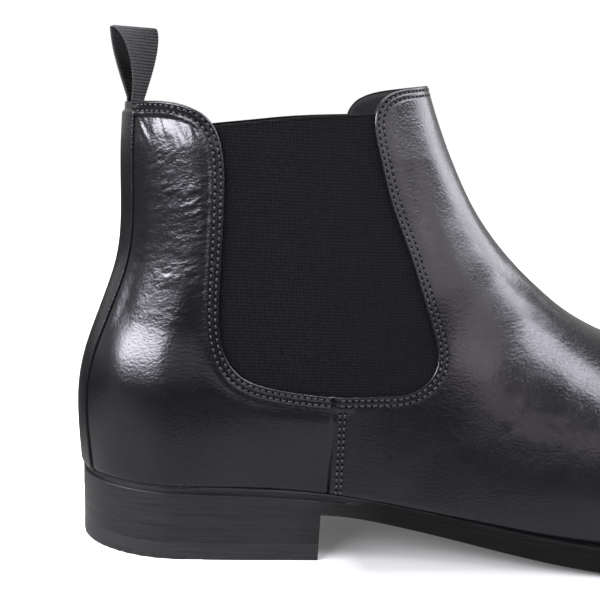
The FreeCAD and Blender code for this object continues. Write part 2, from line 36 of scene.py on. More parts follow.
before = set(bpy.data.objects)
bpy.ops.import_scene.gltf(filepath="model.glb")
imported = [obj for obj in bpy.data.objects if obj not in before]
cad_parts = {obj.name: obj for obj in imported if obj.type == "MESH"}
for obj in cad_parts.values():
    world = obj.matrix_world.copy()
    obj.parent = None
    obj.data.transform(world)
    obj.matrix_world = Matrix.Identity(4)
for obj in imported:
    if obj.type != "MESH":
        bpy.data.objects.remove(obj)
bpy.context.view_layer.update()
MM = 0.001

# ---- curves and the last, as the CAD part has them, in millimetres -


def spline(knots):
    """Natural cubic through (t, value) knots."""
    t, v = np.array(knots, float).T
    n = len(t)
    h = np.diff(t)
    system = np.eye(n)
    rhs = np.zeros(n)
    for i in range(1, n - 1):
        system[i, i - 1:i + 2] = h[i - 1], 2 * (h[i - 1] + h[i]), h[i]
        rhs[i] = 6 * ((v[i + 1] - v[i]) / h[i] - (v[i] - v[i - 1]) / h[i - 1])
    bend = np.linalg.solve(system, rhs)

    def curve(x):
        i = np.clip(np.searchsorted(t, x, side="right") - 1, 0, n - 2)
        a = (t[i + 1] - x) / h[i]
        b = 1 - a
        cubic = (a ** 3 - a) * bend[i] + (b ** 3 - b) * bend[i + 1]
        return a * v[i] + b * v[i + 1] + cubic * h[i] ** 2 / 6

    return curve


def blend(knots):
    """Curve through (t, value) knots that never overshoots them, flat beyond the ends."""
    t, v = np.array(knots, float).T
    n = len(t)
    h = np.diff(t)
    s = np.diff(v) / h
    g = np.concatenate([[s[0]], np.zeros(n - 2), [s[-1]]])
    for i in range(1, n - 1):
        if s[i - 1] * s[i] > 0:
            w1, w2 = 2 * h[i] + h[i - 1], h[i] + 2 * h[i - 1]
            g[i] = (w1 + w2) / (w1 / s[i - 1] + w2 / s[i])

    def curve(x):
        x = np.clip(x, t[0], t[-1])
        i = np.clip(np.searchsorted(t, x, side="right") - 1, 0, n - 2)
        u = (x - t[i]) / h[i]
        ends = (1 + 2 * u) * (1 - u) ** 2 * v[i] + u * u * (3 - 2 * u) * v[i + 1]
        return ends + u * (1 - u) * h[i] * ((1 - u) * g[i] - u * g[i + 1])

    return curve


AXIS_X, AXIS_Z = 172.0, 130.0    # the section planes fan round this axis
TURN = 80.0                      # millimetres of station for a radian of fan
UPRIGHT = TURN * math.pi / 2     # station where the sections become upright


def station(x, z):
    """Side-view point to (station, distance from the axis)."""
    x, z = np.asarray(x, float), np.asarray(z, float)
    fan_s = TURN * np.arctan2(AXIS_Z - z, AXIS_X - x)
    fan_r = np.hypot(AXIS_X - x, AXIS_Z - z)
    ahead, above = x >= AXIS_X, z >= AXIS_Z
    s = np.where(ahead, UPRIGHT + x - AXIS_X, np.where(above, AXIS_Z - z, fan_s))
    r = np.where(ahead, AXIS_Z - z, np.where(above, AXIS_X - x, fan_r))
    return s, r


def place(s, r):
    """(station, distance) to side-view point."""
    a = np.clip(s, 0, UPRIGHT) / TURN
    x = AXIS_X - r * np.cos(a) + np.maximum(s - UPRIGHT, 0)
    z = AXIS_Z - r * np.sin(a) - np.minimum(s, 0)
    return x, z


def fan(degrees):
    return TURN * math.radians(degrees)


def upright(x):
    return UPRIGHT + x - AXIS_X


def polyline(points, steps=600):
    """Smooth side-view line through a few points."""
    points = np.array(points, float)
    t = np.concatenate([[0], np.cumsum(np.hypot(*np.diff(points, axis=0).T))])
    run = np.linspace(0, t[-1], steps + 1)
    return np.stack([spline(np.stack([t, points[:, k]], 1))(run) for k in (0, 1)], 1)


def profile(points):
    """A side-view outline, given as distance from the axis for each station."""
    s, r = station(*polyline(points).T)
    return lambda x: np.interp(x, s, r)


front_line = profile([
    (102.5, 170), (107, 158), (112.6, 143), (120, 127), (129.6, 111), (143.5, 95.4),
    (156.4, 84.6), (168.5, 77), (185, 70.4), (205, 64.6), (228, 57.5), (250, 49.5),
    (268, 41.5), (281, 33.5), (290.5, 25), (296.5, 15), (298.5, 5)])
back_line = profile([
    (7.4, 170), (8.4, 143), (8.2, 130), (8.8, 113), (8.9, 101), (7.9, 92), (5.2, 82),
    (1.6, 71), (-1.6, 60), (-3, 50), (-2.7, 38), (-1.4, 26), (0.6, 8), (2, -12), (7, -34),
    (24, -46), (60, -50), (172, -50), (240, -50), (300, -50)])
outer_side = blend([
    (-40, 28.8), (-13, 29.4), (0, 30.2), (fan(13), 32), (fan(24), 33.2), (fan(34), 33.6),
    (fan(45), 33), (fan(56), 34.2), (fan(66), 37.4), (fan(78), 42.6), (upright(172), 46.6),
    (upright(192), 48.6), (upright(210), 48), (upright(230), 43.8), (upright(250), 36.6),
    (upright(268), 27.6), (upright(282), 17.8), (upright(291), 9), (upright(296), 2.5),
    (upright(298.3), -4)])
inner_side = blend([
    (-40, 28.8), (-13, 29.4), (0, 30.2), (fan(13), 32), (fan(24), 33.2), (fan(34), 33),
    (fan(45), 31), (fan(56), 29.4), (fan(66), 31), (fan(78), 35.6), (upright(172), 40),
    (upright(192), 43.6), (upright(210), 45), (upright(230), 43.6), (upright(250), 39.4),
    (upright(268), 33), (upright(282), 25.6), (upright(291), 18), (upright(296), 12),
    (upright(298.3), 7.5)])
ridge = blend([
    (-40, 0), (fan(20), 0), (fan(50), 0.5), (upright(172), 2.5), (upright(230), 4),
    (upright(298), 6)])
front_round = blend([
    (-40, 50), (-13, 52), (0, 55), (fan(20), 64), (fan(40), 66), (fan(60), 64),
    (upright(172), 56), (upright(200), 50), (upright(240), 40), (upright(270), 30),
    (upright(290), 20), (upright(298), 10)])
fullness = blend([
    (-40, 2), (0, 2), (fan(40), 2.05), (upright(172), 2.15), (upright(240), 2.4)])
back_round = blend([
    (-40, 25), (-13, 26), (0, 27), (fan(12), 29), (fan(22), 33), (fan(32), 37), (fan(40), 40),
    (fan(45), 42), (fan(60), 30), (upright(298), 30)])

SOLE_TOP = [
    (-12, 24.2), (10, 24.2), (40, 24.0), (60, 23.4), (78, 22.0), (94, 19.8), (107, 17.6),
    (122, 15.2), (138, 12.8), (155, 10.7), (175, 9.4), (200, 8.9), (225, 9.3), (250, 10.8),
    (275, 13.8), (312, 19.6)]
SOLE_BOTTOM = [
    (75, 15.2), (82, 14.6), (95, 12.6), (108, 10.2), (122, 7.6), (138, 4.8), (153, 2.7),
    (168, 1.2), (184, 0.3), (200, 0.0), (216, 0.2), (236, 1.1), (256, 3.0), (276, 6.0),
    (312, 12.4)]
TOPLINE = [
    (12, 143.4), (17.4, 143.7), (22.7, 143.5), (28, 142.3), (32.2, 140.4), (35.5, 137.3),
    (38.6, 129.8), (39.9, 114), (39.8, 96), (39.6, 84), (40.4, 72.5), (42.4, 66), (47.2, 60.2),
    (55, 57), (66.8, 55.1), (80, 54.1), (92, 54.4), (101, 55.4), (107, 58.6), (110.5, 63.6),
    (110.6, 70), (108.2, 77.6), (98.8, 102.8), (93.8, 114.2), (90.4, 124.5), (87.4, 135.6),
    (86.9, 143.3), (89.3, 148), (94.2, 151), (102, 152.9), (112, 154.6)]
STRIP_EDGE = [(4, 15.8), (26, 14.2), (46, 13.2), (66, 13.8), (90, 14.6), (120, 14.6), (150, 14.2)]
GORE_TOP = [(26, 135.8), (35.6, 137.2), (44, 138.5), (53, 139.8), (62.3, 141.2), (77.3, 142.9),
            (87.1, 143.7), (94, 144.2)]
SEAM_X = 77.6

sole_top = spline(SOLE_TOP)
sole_bottom = spline(SOLE_BOTTOM)
strip_half = spline(STRIP_EDGE)
gore_top = spline(GORE_TOP)


def side_y(s, r, side):
    """Y of the skin on one side (-1 outer, +1 inner)."""
    near, far = front_line(s), back_line(s)
    power = fullness(s)
    front = np.clip(1 - (r - near) / front_round(s), 0, 1)
    back = np.clip(1 - (far - r) / back_round(s), 0, 1)
    k = (1 - front ** power) ** (1 / power) * np.sqrt(1 - back ** 2)
    width = np.where(side < 0, outer_side(s), inner_side(s))
    return ridge(s) + (side * width - ridge(s)) * k


def skin(s, w, back=False):
    """Point of the skin; w runs round from the front ridge (or the back), minus outside."""
    side = np.where(w < 0, -1.0, 1.0)
    share = 1 - np.abs(w) if back else np.abs(w)
    near, far = front_line(s), back_line(s)
    r = near + (far - near) * (1 - np.cos(math.pi * share)) / 2
    x, z = place(s, r)
    return np.stack([x, side_y(s, r, side), z], -1)


def skin_normal(s, w, back=False):
    """Outward normal of the skin."""
    ds, dw = 0.05, 0.0006
    along = skin(s + ds, w, back) - skin(s - ds, w, back)
    across = skin(s, w + dw, back) - skin(s, w - dw, back)
    n = np.cross(along, across)
    n /= np.linalg.norm(n, axis=-1, keepdims=True)
    return -n if back else n


def drape(x, z, side):
    """Side-view points laid on the skin of one side."""
    s, r = station(x, z)
    return np.stack([x, side_y(s, np.clip(r, front_line(s), back_line(s)), side), z], -1)


# ---- lines and distances on the skin -------------------------------


def resample(line, step):
    """Even points along a 3-D line."""
    run = np.concatenate([[0], np.cumsum(np.linalg.norm(np.diff(line, axis=0), axis=1))])
    even = np.linspace(0, run[-1], max(2, int(round(run[-1] / step)) + 1))
    return np.stack([np.interp(even, run, line[:, k]) for k in range(3)], 1)


TOP_2D = polyline(TOPLINE, 9000)
REACH = (-30.0, 330.0)
UPPER_AREA = np.concatenate([TOP_2D[::30], [(REACH[1], TOP_2D[-1, 1]), (REACH[1], -60),
                                            (REACH[0], -60), (REACH[0], TOP_2D[0, 1])]])
GORE_BACK, GORE_HIGH = 38.0, 138.0    # the topline beside a gore: forward of this x, below this z


def top_edge(side):
    """The upper's top edge on one side, from the back seam round to the instep."""
    start = place(station(*TOP_2D[0])[0], back_line(station(*TOP_2D[0])[0]))[0]
    u = np.linspace(0, 1, 60)
    lead = np.stack([start + (TOP_2D[0, 0] - start) * u ** 2, np.full(60, TOP_2D[0, 1])], 1)
    line = np.concatenate([lead, TOP_2D[1:]])
    s, r = station(*line.T)
    line = line[r >= front_line(s)]
    return resample(drape(line[:, 0], line[:, 1], side), 0.4)


TOP_EDGE = {-1: top_edge(-1), 1: top_edge(1)}


def inside(x, z, area):
    """Which side-view points lie in a closed outline."""
    odd = np.zeros(len(x), bool)
    for (x0, z0), (x1, z1) in zip(area, np.roll(area, -1, axis=0)):
        crosses = (z0 > z) != (z1 > z)
        if crosses.any():
            odd ^= crosses & (x < x0 + (z - z0) * (x1 - x0) / (z1 - z0 + 1e-12))
    return odd


def distance(points, line):
    """Distance of each point to a line."""
    tree = kdtree.KDTree(len(line))
    for i, p in enumerate(line):
        tree.insert(p, i)
    tree.balance()
    near = np.array([tree.find(p)[1] for p in points])
    best = np.full(len(points), 1e9)
    for a in (np.maximum(near - 1, 0), np.minimum(near, len(line) - 2)):
        start, along = line[a], line[a + 1] - line[a]
        k = np.clip(((points - start) * along).sum(1) / (along ** 2).sum(1), 0, 1)
        best = np.minimum(best, np.linalg.norm(points - start - along * k[:, None], axis=1))
    return best


def smooth(low, high, x):
    """0 below low, 1 above high, eased between."""
    t = np.clip((x - low) / (high - low), 0, 1)
    return t * t * (3 - 2 * t)


def measure(s, w, back):
    """Side-view place and distances, in millimetres, that shape the panels at each point."""
    p = skin(s, w, back)
    x, y, z = p.T
    edge = np.concatenate([TOP_EDGE[-1], TOP_EDGE[1][::-1]])
    top = distance(p, edge)
    top = np.where(inside(x, z, UPPER_AREA), top, -top)
    window = TOP_2D[(TOP_2D[:, 0] > GORE_BACK) & (TOP_2D[:, 1] < GORE_HIGH)][::40]
    beside = np.concatenate([drape(window[:, 0], window[:, 1], k) for k in (-1, 1)])
    return {
        "x": x, "y": y, "z": z, "top": top,
        "seam": x - SEAM_X,
        "sole": z - sole_top(x),
        "behind": SEAM_X - x,
        "strip": strip_half(z) - np.abs(y),
        "beside": np.abs(y) - strip_half(z),
        "hem": gore_top(x) - z,
        "window": -top,
        "gore": distance(p, beside),
    }


# ---- panels --------------------------------------------------------


def slice_faces(table, faces, column, level, snap=0.05):
    """Cut every face where a column of the vertex table crosses a level."""
    value = table[:, column] - level
    value[np.abs(value) < snap] = 0.0
    flat = np.fromiter(chain.from_iterable(faces), int)
    starts = np.concatenate([[0], np.cumsum([len(f) for f in faces])[:-1]])
    low = np.minimum.reduceat(value[flat], starts)
    high = np.maximum.reduceat(value[flat], starts)
    crossing = (low < 0) & (high > 0)
    result = [faces[i] for i in np.flatnonzero(~crossing)]
    cuts, extra = {}, []
    for i in np.flatnonzero(crossing):
        below, above = [], []
        face = faces[i]
        for a, b in zip(face, face[1:] + face[:1]):
            if value[a] >= 0:
                above.append(a)
            if value[a] <= 0:
                below.append(a)
            if value[a] * value[b] < 0:
                key = (min(a, b), max(a, b))
                if key not in cuts:
                    k = value[a] / (value[a] - value[b])
                    cuts[key] = len(table) + len(extra)
                    extra.append(table[a] * (1 - k) + table[b] * k)
                below.append(cuts[key])
                above.append(cuts[key])
        result += [tuple(part) for part in (below, above) if len(part) > 2]
    if extra:
        table = np.vstack([table, extra])
    return table, result


def add_mesh(name, points, faces, material, angle=48):
    """A mesh object from points in millimetres."""
    mesh = bpy.data.meshes.new(name)
    mesh.from_pydata((np.asarray(points) * MM).tolist(), [], [list(map(int, f)) for f in faces])
    mesh.validate()
    mesh.shade_smooth()
    mesh.set_sharp_from_angle(angle=math.radians(angle))
    piece = bpy.data.objects.new(name, mesh)
    bpy.context.scene.collection.objects.link(piece)
    mesh.materials.append(material)
    return piece


def tube(first, rings, n):
    """Faces between rings of n points each."""
    return [(first + j * n + k, first + j * n + (k + 1) % n,
             first + (j + 1) * n + (k + 1) % n, first + (j + 1) * n + k)
            for j in range(rings - 1) for k in range(n)]


def panel(name, rows, columns, cuts, keep, outer, inner, material, back=False):
    """A sheet of leather or cloth on the skin, as a closed mesh.

    cuts: lines that the mesh follows, as {measure: levels}. keep: least value of a measure.
    outer and inner: height of each face over the skin, from the measures."""
    s, w = np.meshgrid(rows, columns, indexing="ij")
    index = np.arange(s.size).reshape(s.shape)
    quads = np.stack([index[:-1, :-1], index[:-1, 1:], index[1:, 1:], index[1:, :-1]], -1)
    quads = quads.reshape(-1, 4)
    table = np.stack([s.ravel(), w.ravel()], 1)
    found = measure(table[:, 0], table[:, 1], back)
    for key, least in keep.items():
        quads = quads[(found[key][quads] > least).any(1)]
    names = list(cuts)
    table = np.column_stack([table] + [found[key] for key in names])
    faces = [tuple(q) for q in quads.tolist()]
    for column, key in enumerate(names, start=2):
        for level in cuts[key]:
            table, faces = slice_faces(table, faces, column, level)
    for key, least in keep.items():
        column = names.index(key) + 2
        faces = [f for f in faces if table[list(f), column].mean() > least]
    used = np.unique(np.fromiter(chain.from_iterable(faces), int))
    lookup = np.zeros(len(table), int)
    lookup[used] = np.arange(len(used))
    faces = [tuple(lookup[list(f)]) for f in faces]
    table = table[used]
    s, w = table[:, 0], table[:, 1]
    found = measure(s, w, back)
    base, normal = skin(s, w, back), skin_normal(s, w, back)
    top = base + normal * outer(found)[:, None]
    bottom = base + normal * inner(found)[:, None]
    a, b, c = (top[[f[k] for f in faces]] for k in range(3))
    turn = (np.cross(b - a, c - a) * normal[[f[0] for f in faces]]).sum()
    if turn < 0:
        faces = [f[::-1] for f in faces]
    count = len(table)
    edges = set()
    for f in faces:
        edges.update(zip(f, f[1:] + f[:1]))
    rim = [(b, a, a + count, b + count) for a, b in edges if (b, a) not in edges]
    under = [tuple(i + count for i in f[::-1]) for f in faces]
    piece = add_mesh(name, np.vstack([top, bottom]), faces + under + rim, material)
    return piece


def folded(d, rise, radius=0.75, width=5.2):
    """Height of leather near its folded edge, d millimetres in from the edge."""
    d = np.maximum(d, 0)
    fold = np.clip(1 - d / radius, 0, 1)
    lift = rise * (1 - smooth(width * 0.75, width, d))
    return lift - radius * (1 - np.sqrt(np.maximum(1 - fold ** 2, 0)))


def groove(d, row):
    """A row of stitches pulls the leather down along a line."""
    return -0.16 * np.exp(-((d - row) / 0.42) ** 2)


def perlin(*coordinates):
    return np.array([noise.noise(Vector(p)) for p in zip(*coordinates)])


def bend_with_collar(piece):
    """Bake a piece's placement into its mesh and read its vertex positions, which nothing uses
    further.
    """
    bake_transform(piece)
    points = np.zeros(len(piece.data.vertices) * 3)
    piece.data.vertices.foreach_get("co", points)


# ---- materials -----------------------------------------------------


class Surface:
    """A procedural material, built up from nodes that read the object's own coordinates."""

    def __init__(self, name):
        self.material = bpy.data.materials.new(name)
        self.material.use_nodes = True
        self.tree = self.material.node_tree
        self.shader = self.tree.nodes["Principled BSDF"]
        where = self.tree.nodes.new("ShaderNodeTexCoord")
        self.coordinates = where.outputs["Object"]

    def feed(self, socket, value):
        """Link another node's output to a socket, or set the socket's value."""
        if isinstance(value, bpy.types.NodeSocket):
            self.tree.links.new(value, socket)
        else:
            socket.default_value = value

    def put(self, kind, inputs=None, **settings):
        """A new node, with its inputs and settings; gives its first output."""
        node = self.tree.nodes.new("ShaderNode" + kind)
        for key, value in settings.items():
            setattr(node, key, value)
        for key, value in (inputs or {}).items():
            self.feed(node.inputs[key], value)
        return node.outputs[0]

    def scaled(self, x, y, z):
        """Coordinates in units of x, y and z millimetres."""
        scale = (1 / (x * MM), 1 / (y * MM), 1 / (z * MM))
        return self.put("Mapping", {"Vector": self.coordinates, "Scale": scale})

    def noise(self, vector, detail=3.0):
        return self.put("TexNoise", {"Vector": vector, "Scale": 1.0, "Detail": detail})

    def wave(self, vector, axis, period=1.0):
        return self.put("TexWave", {"Vector": vector, "Scale": math.pi / 10 / period,
                                    "Distortion": 0.0}, bands_direction=axis)

    def math(self, operation, a, b):
        return self.put("Math", {0: a, 1: b}, operation=operation)

    def spread(self, value, low, high, to_low=0.0, to_high=1.0):
        return self.put("MapRange", {"Value": value, "From Min": low, "From Max": high,
                                     "To Min": to_low, "To Max": to_high})

    def mix(self, share, a, b):
        node = self.tree.nodes.new("ShaderNodeMix")
        node.data_type = "RGBA"
        for place, value in ((0, share), (6, a), (7, b)):
            self.feed(node.inputs[place], value)
        return node.outputs[2]

    def finish(self, colour, roughness, height, depth, **others):
        """Connect the results; depth is the relief in millimetres."""
        bump = self.put("Bump", {"Height": height, "Distance": depth * MM, "Strength": 1.0})
        inputs = {"Base Color": colour, "Roughness": roughness, "Normal": bump, **others}
        for key, value in inputs.items():
            self.feed(self.shader.inputs[key.replace("_", " ")], value)
        return self.material


def rgb(r, g, b):
    return (r, g, b, 1.0)


def leather(name, dark, light, roughness, coat=0.2, specular=0.5):
    """Polished leather: fine grain and pores, slight colour and gloss variation."""
    m = Surface(name)
    fine = m.noise(m.scaled(0.5, 0.5, 0.5), detail=2)
    pores = m.noise(m.scaled(1.0, 1.0, 0.8), detail=2)
    height = m.math("ADD", m.math("MULTIPLY", fine, 0.5), pores)
    tone = m.noise(m.scaled(26, 26, 18), detail=3)
    colour = m.mix(m.spread(tone, 0.35, 0.7), dark, light)
    gloss = m.spread(m.noise(m.scaled(7, 7, 5), detail=3), 0.3, 0.7, roughness - 0.02,
                     roughness + 0.03)
    return m.finish(colour, gloss, height, 0.11, Coat_Weight=coat, Coat_Roughness=0.15,
                    Specular_IOR_Level=specular, Specular_Tint=rgb(0.94, 0.93, 1.0))


def woven(name, colour, rib_x, rib_z):
    """Elastic: fine upright ribs crossed by fine courses."""
    m = Surface(name)
    ribs = m.wave(m.scaled(1, 1, 1), "X", rib_x)
    courses = m.wave(m.scaled(1, 1, 1), "Z", rib_z)
    drift = m.noise(m.scaled(0.8, 0.8, 1.3), detail=2)
    height = m.math("ADD", m.math("MULTIPLY", ribs, 0.6), m.math("MULTIPLY", courses, 0.4))
    height = m.math("ADD", height, m.math("MULTIPLY", drift, 0.8))
    # The colour darkens where the weave is low: painted shade in the valleys of ribs and courses, with
    # random tone from the drift.
    shade = m.spread(height, 0.5, 1.2)
    dark = rgb(*(c * 0.12 for c in colour))
    return m.finish(m.mix(shade, dark, rgb(*colour)), 0.8, height, 0.25,
                    Specular_IOR_Level=0.06, Sheen_Weight=0.02, Sheen_Roughness=0.5)


def plain(name, colour, other, roughness, stretch=(2, 2, 2), depth=0.03, metal=0.0,
          specular=0.5):
    """A worked surface with faint marks, drawn out along the longest of its three scales."""
    m = Surface(name)
    marks = m.noise(m.scaled(*stretch), detail=5)
    tone = m.mix(m.spread(marks, 0.3, 0.7), rgb(*colour), rgb(*other))
    gloss = m.spread(marks, 0.3, 0.7, roughness - 0.05, roughness + 0.06)
    return m.finish(tone, gloss, marks, depth, Metallic=metal, Specular_IOR_Level=specular)


def edging(name):
    """Inked edge with drawn-out burnishing marks, painted darker and duller forward of the heel as
    shade under the arch.
    """
    m = Surface(name)
    marks = m.noise(m.scaled(14, 14, 0.45), detail=5)
    x = m.put("SeparateXYZ", {0: m.coordinates})
    share = m.spread(marks, 0.3, 0.7)
    heel = m.mix(share, rgb(0.0035, 0.0037, 0.0043), rgb(0.008, 0.0082, 0.0093))
    # Painted shade: forward of the heel the edge is more than twice as dark and less glossy, standing
    # in for the shade under the arch.
    waist = m.mix(share, rgb(0.0014, 0.0014, 0.0016), rgb(0.003, 0.003, 0.0034))
    ends = (0.068, 0.096)
    gloss = m.spread(marks, 0.3, 0.7, 0.36, 0.46)
    return m.finish(m.mix(m.spread(x, *ends), heel, waist), gloss, marks, 0.05,
                    Specular_IOR_Level=m.spread(x, *ends, 0.42, 0.14))


UPPER = leather("upper_leather", rgb(0.0026, 0.0025, 0.0031), rgb(0.0040, 0.0037, 0.0043), 0.25)
LINING = leather("lining_leather", rgb(0.006, 0.0055, 0.0055), rgb(0.011, 0.010, 0.010), 0.7,
                 coat=0.0, specular=0.15)
ELASTIC = woven("elastic", (0.0052, 0.0052, 0.0062), 0.7, 1.0)
WEBBING = plain("webbing", (0.010, 0.0105, 0.012), (0.022, 0.023, 0.025), 0.75,
                (0.4, 0.4, 0.4), 0.06)
THREAD = plain("thread", (0.006, 0.006, 0.0075), (0.018, 0.018, 0.021), 0.36, (0.3, 0.3, 0.3), 0.04)
# Needle holes are dark discs, not holes: painted shade.
HOLE_SHADE = plain("needle_hole_shade", (0.0008, 0.0008, 0.0009), (0.0016, 0.0016, 0.0018), 0.85,
              (0.3, 0.3, 0.3), 0.02, specular=0.05)
SOLE = edging("sole_edge")
RUBBER = plain("rubber", (0.004, 0.0042, 0.005), (0.009, 0.0092, 0.0105), 0.46,
               (14, 14, 0.45), 0.05)
BOARD = plain("board", (0.23, 0.15, 0.09), (0.32, 0.22, 0.14), 0.8, (3, 3, 1))
CORK = plain("cork", (0.20, 0.11, 0.06), (0.34, 0.21, 0.12), 0.85, (1.5, 1.5, 1.5), 0.2)
STEEL = plain("steel", (0.42, 0.42, 0.43), (0.56, 0.56, 0.57), 0.35, (20, 1, 1), 0.01, 1.0)
STIFFENER = plain("stiffener", (0.30, 0.27, 0.22), (0.40, 0.36, 0.30), 0.8, (2, 2, 2))


# ---- the upper -----------------------------------------------------

EDGE_LEVELS = [0, 0.08, 0.25, 0.5, 0.75, 0.95, 1.25, 1.55, 2.1, 2.75, 3.05, 3.35, 4.0, 5.2]
ROWS_TOP = (1.25, 3.05)          # stitch rows round the gores and collar
ROWS_SEAM = (2.1, 3.6)           # stitch rows beside the side seam
FEATHER = [-1.0, 0, 0.5, 1.0, 2.0]


def feather(d):
    """The upper tucks in where it meets the welt."""
    return -0.9 * (1 - smooth(-0.6, 1.1, d)) ** 1.5


def crests(p):
    """Sharp-topped ridges where a noise passes zero."""
    return np.clip(1 - 3.4 * np.abs(p), 0, 1) ** 1.3


def rolls(x, y, z):
    """Soft upright folds and fine creases of the vamp."""
    shaft = smooth(70, 95, z) * (1 - smooth(136, 148, z))
    folds = 0.42 * perlin(x / 9 + z / 24, y / 12, z / 55) * shaft
    folds -= 0.3 * np.exp(-((x - 102 - 0.22 * (130 - z)) / 4.5) ** 2) * smooth(88, 120, z)
    ball = np.exp(-((x - 147) / 20) ** 2 - ((z - 46) / 11) ** 2)
    creases = 0.22 * ball * crests(perlin(x / 8, y / 30, (z + 0.45 * x) / 2.4))
    loose = 0.03 * perlin(x / 5, y / 5, z / 3.0)
    return folds - creases + loose


def vamp_outer(f):
    top = np.maximum(f["top"], 0)
    seam = np.maximum(f["seam"], 0)
    height = np.minimum(folded(top, 0.30), folded(seam, 0.55, width=7.0))
    for row in ROWS_TOP:
        height += groove(top, row) * smooth(0.4, 1.0, seam - 0.2)
    for row in ROWS_SEAM:
        height += groove(seam, row) * smooth(2.5, 3.6, top)
    calm = smooth(1, 9, top) * smooth(2, 10, seam) * smooth(1, 8, f["sole"])
    return height + feather(f["sole"]) + rolls(f["x"], f["y"], f["z"]) * calm


def ripples(x, y, z, side):
    """Fine wrinkles across the shaft of a quarter, bowed low down, rising towards the gore."""
    rise = 0.5 * smooth(90, 118, z) * (x - 22) + 0.012 * (x - 20) ** 2 * (1 - smooth(96, 116, z))
    level = z - rise
    long = crests(perlin(x / 6.5 + side * 9, y * 0 + side * 3, level / 1.8))
    short = crests(perlin(x / 3.6 + side * 5, y * 0 + 7.1, level / 1.2))
    where = smooth(66, 84, z) * (1 - smooth(128, 133, z)) * (0.35 + 0.65 * smooth(10, 24, x))
    patches = np.clip(0.75 + 1.3 * perlin(x / 9, y * 0 + side, z / 8), 0.1, 1.3)
    gathers = perlin((x + 0.4 * (z - 138)) / 1.15, y * 0 + side * 2, z / 6) \
        * smooth(128, 134, z) * smooth(7, 12, x)
    return (0.14 * long + 0.07 * short) * where * patches + 0.26 * gathers


def quarter_outer(side):
    """Height of a quarter's face: a fuller heel, a waisted ankle and a top that leans in."""
    def outer(f):
        top = np.maximum(f["top"], 0)
        height = folded(top, 0.30)
        for row in ROWS_TOP:
            height += groove(top, row)
        calm = smooth(2.0, 6.5, top) * smooth(0.3, 3.5, f["beside"])
        height += ripples(f["x"], f["y"], f["z"], side) * calm
        beside = smooth(2, 12, f["x"]) * smooth(0.5, 6, f["beside"]) * smooth(0, 9, top)
        z = f["z"]
        bulge = 1.3 * smooth(22, 54, z) - 2.5 * smooth(54, 76, z) + 1.2 * smooth(76, 112, z)
        height += bulge * beside
        height -= 0.85 * smooth(130, 141.5, z) * smooth(0.5, 6, f["beside"]) * smooth(0.8, 4.2, top)
        height -= 0.8 * smooth(-1.6, -0.2, f["seam"])
        height -= 0.35 * smooth(-2.0, 0.2, -f["beside"])
        return height + feather(f["sole"])
    return outer


def backstay_outer(f):
    height = 0.42 + folded(f["strip"], 0.0, radius=0.55)
    height -= 0.75 * smooth(139.9, 140.6, f["z"])
    return height + folded(f["top"], 0.0, radius=0.6) + feather(f["sole"])


def level_of(value):
    return lambda f: np.full(len(f["x"]), value)


level_rows = np.arange(-27, 0, 0.9)
fan_rows = np.arange(0, UPRIGHT, 0.72)
toe_rows = UPRIGHT + 125.3 * (1 - (1 - np.linspace(0, 1, 128)) ** 1.35)
vamp = panel("vamp_upper", np.concatenate([level_rows, fan_rows, toe_rows]),
             np.arange(-0.86, 0.861, 0.0085),
             {"top": EDGE_LEVELS, "seam": EDGE_LEVELS[:8] + [1.8, 2.1, 2.4, 3.3, 3.6, 3.9, 5.2],
              "sole": FEATHER},
             {"top": 0, "seam": 0, "sole": -1.0}, vamp_outer, level_of(-1.3), UPPER)
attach(vamp, "boot")
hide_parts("vamp")

quarter_rows = np.arange(-14.5, 100, 0.34)
quarter_columns = np.arange(0.30, 0.97, 0.0045)
for side, label in ((-1, "lateral"), (1, "medial")):
    quarter = panel("quarter_%s_upper" % label, quarter_rows, side * quarter_columns,
                    {"top": EDGE_LEVELS, "behind": [-0.8, 0, 0.7, 1.5, 3], "sole": FEATHER,
                     "beside": [-1.8, 0, 1, 2, 4]},
                    {"top": 0, "sole": -1.0, "behind": -0.8, "beside": -1.8},
                    quarter_outer(side), level_of(-1.3), UPPER)
    bend_with_collar(quarter)
    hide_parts("quarter_" + label, "quarter_shaft_" + label)

backstay = panel("backstay_strip", np.arange(-14.5, 48, 0.55), np.arange(-0.42, 0.421, 0.0062),
                 {"strip": [0, 0.1, 0.25, 0.45, 0.6, 1.0, 1.6],
                  "top": [0, 0.2, 0.5, 2.4, 2.8, 3.2, 3.6], "sole": FEATHER},
                 {"strip": 0, "top": 0, "sole": -1.0}, backstay_outer, level_of(-0.9), UPPER,
                 back=True)
bend_with_collar(backstay)
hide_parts("backstay", "backstay_shaft")


# ---- elastic gores -------------------------------------------------


def gore_outer(f):
    hem = f["hem"]
    height = -1.22 - 0.55 * (1 - np.sqrt(1 - np.clip(1 - hem / 0.55, 0, 1) ** 2))
    height += 0.10 * np.exp(-((hem - 0.6) / 0.4) ** 2) - 0.14 * np.exp(-((hem - 1.15) / 0.16) ** 2)
    soft = 0.10 * perlin(f["x"] / 16, f["y"] * 0, f["z"] / 11)
    return height + soft * smooth(1, 7, -f["top"])


for side, label in ((-1, "lateral"), (1, "medial")):
    gore = panel("gore_%s_elastic" % label, np.arange(-14.5, 88, 0.6),
                 side * np.arange(0.10, 0.80, 0.0085),
                 {"window": [-4.2, -2, 0, 2], "hem": [0, 0.1, 0.25, 0.45, 0.7, 0.95, 1.15, 1.35, 1.7]},
                 {"window": -4.2, "hem": 0}, gore_outer, level_of(-2.35), ELASTIC)
    bend_with_collar(gore)
    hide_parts("gore_" + label)


# ---- lining --------------------------------------------------------


LINING_LEVELS = [0.5, 0.8, 1.2, 1.6]


def lip(f):
    """The lining thins where it meets the top edge."""
    return 0.8 * (1 - smooth(0.0, 1.0, f["top"] - 0.5))


def lining_outer(f):
    behind_gore = 1 - smooth(4.4, 6.0, f["gore"])
    return -1.42 - 1.05 * behind_gore - lip(f) * 0.5


def lining_inner(f):
    return -3.35 + lip(f)


